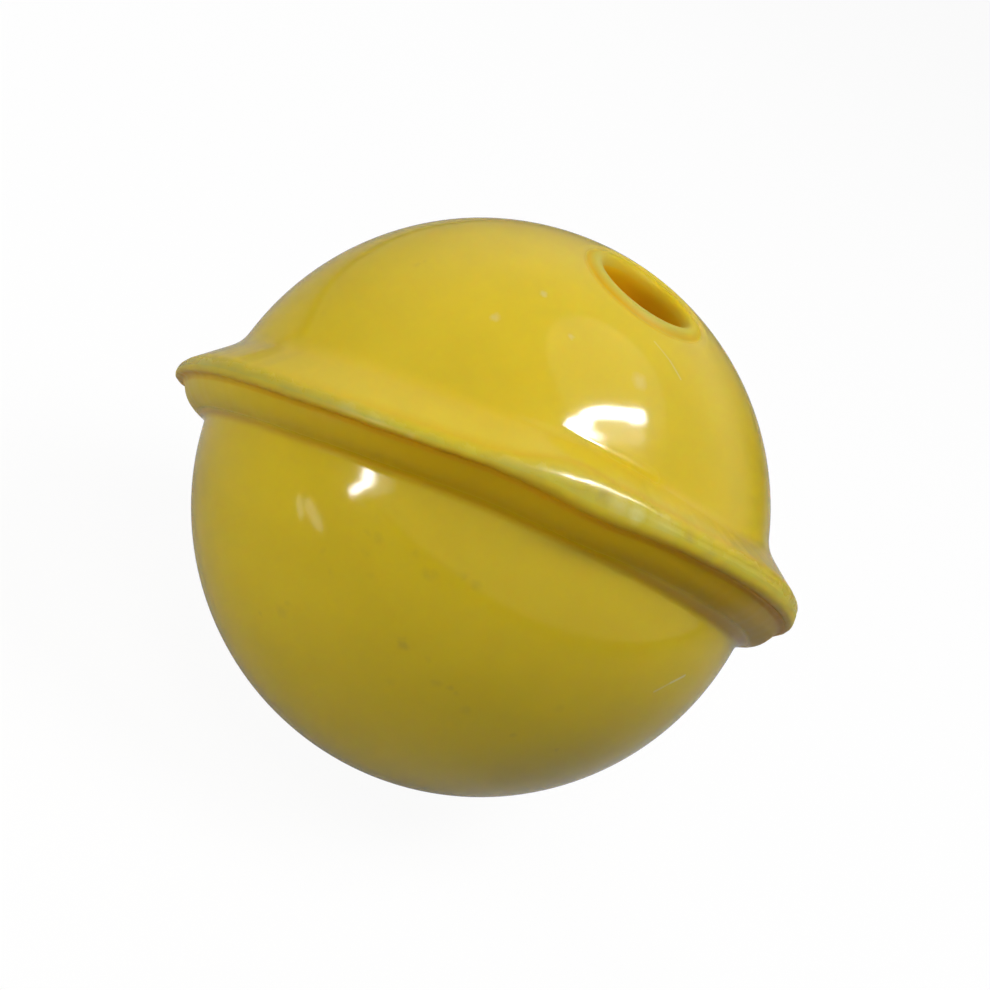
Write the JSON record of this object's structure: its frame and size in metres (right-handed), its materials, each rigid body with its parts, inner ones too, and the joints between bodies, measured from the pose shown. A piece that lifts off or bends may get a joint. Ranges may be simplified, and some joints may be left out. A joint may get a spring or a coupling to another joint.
{
  "type": "longline float",
  "caption": "Hard round fishing float: a hollow plastic ball with a moulded flange around its middle and a straight rope bore through it.",
  "frame": {"origin": "centre of the flat end of the lower rope mouth, on the surface that the float stands on", "axes": "+Z along the rope bore to the upper mouth; +Y in the flange's plane; the flange's axis leans from +Z towards -X"},
  "size_m": [0.1268, 0.1456, 0.126],
  "materials": {
    "yellow_plastic": "glossy moulded yellow plastic, scuffed along the flange's rim"
  },
  "bodies": {
    "root": {"float_body": "yellow_plastic"}
  },
  "joints": []
}
